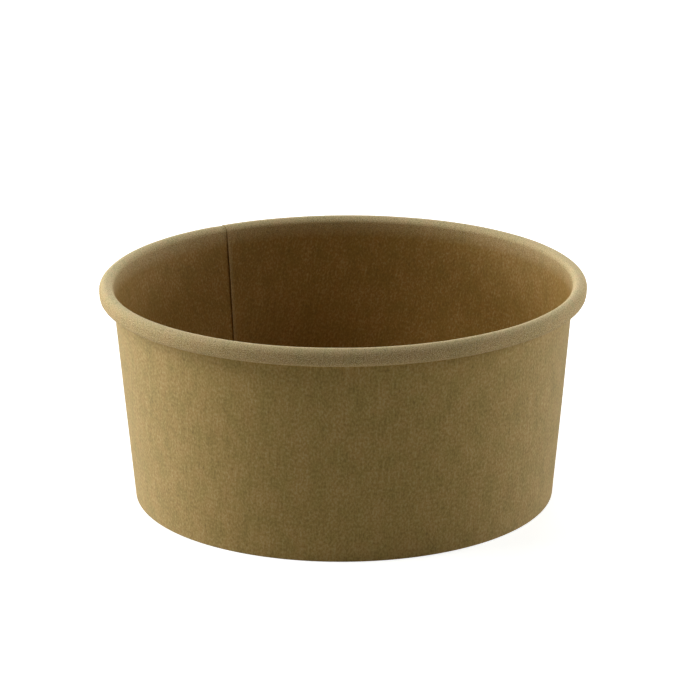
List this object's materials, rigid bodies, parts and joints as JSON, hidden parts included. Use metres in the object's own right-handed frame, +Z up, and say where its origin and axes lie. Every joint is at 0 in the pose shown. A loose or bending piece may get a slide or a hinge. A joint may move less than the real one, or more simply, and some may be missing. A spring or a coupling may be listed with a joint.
{
  "type": "paper ice cream tub",
  "caption": "Wide, shallow round tub of plain kraft board for ice cream: slightly conical wall with a lap seam, rolled rim and a base set up inside the foot; no lid.",
  "frame": {"origin": "centre of the foot ring, on the surface the tub stands on", "axes": "+Z up along the tub's axis, +X to the right and -Y towards the viewer of the picture; the lap seam's inner edge is at 122.2 degrees from +X towards +Y"},
  "size_m": [0.15, 0.15, 0.0686],
  "materials": {
    "wall_board": "matt unbleached kraft board",
    "base_board": "matt unbleached kraft board"
  },
  "bodies": {
    "root": {"side_wall": "wall_board", "base_disc": "base_board"}
  },
  "joints": []
}
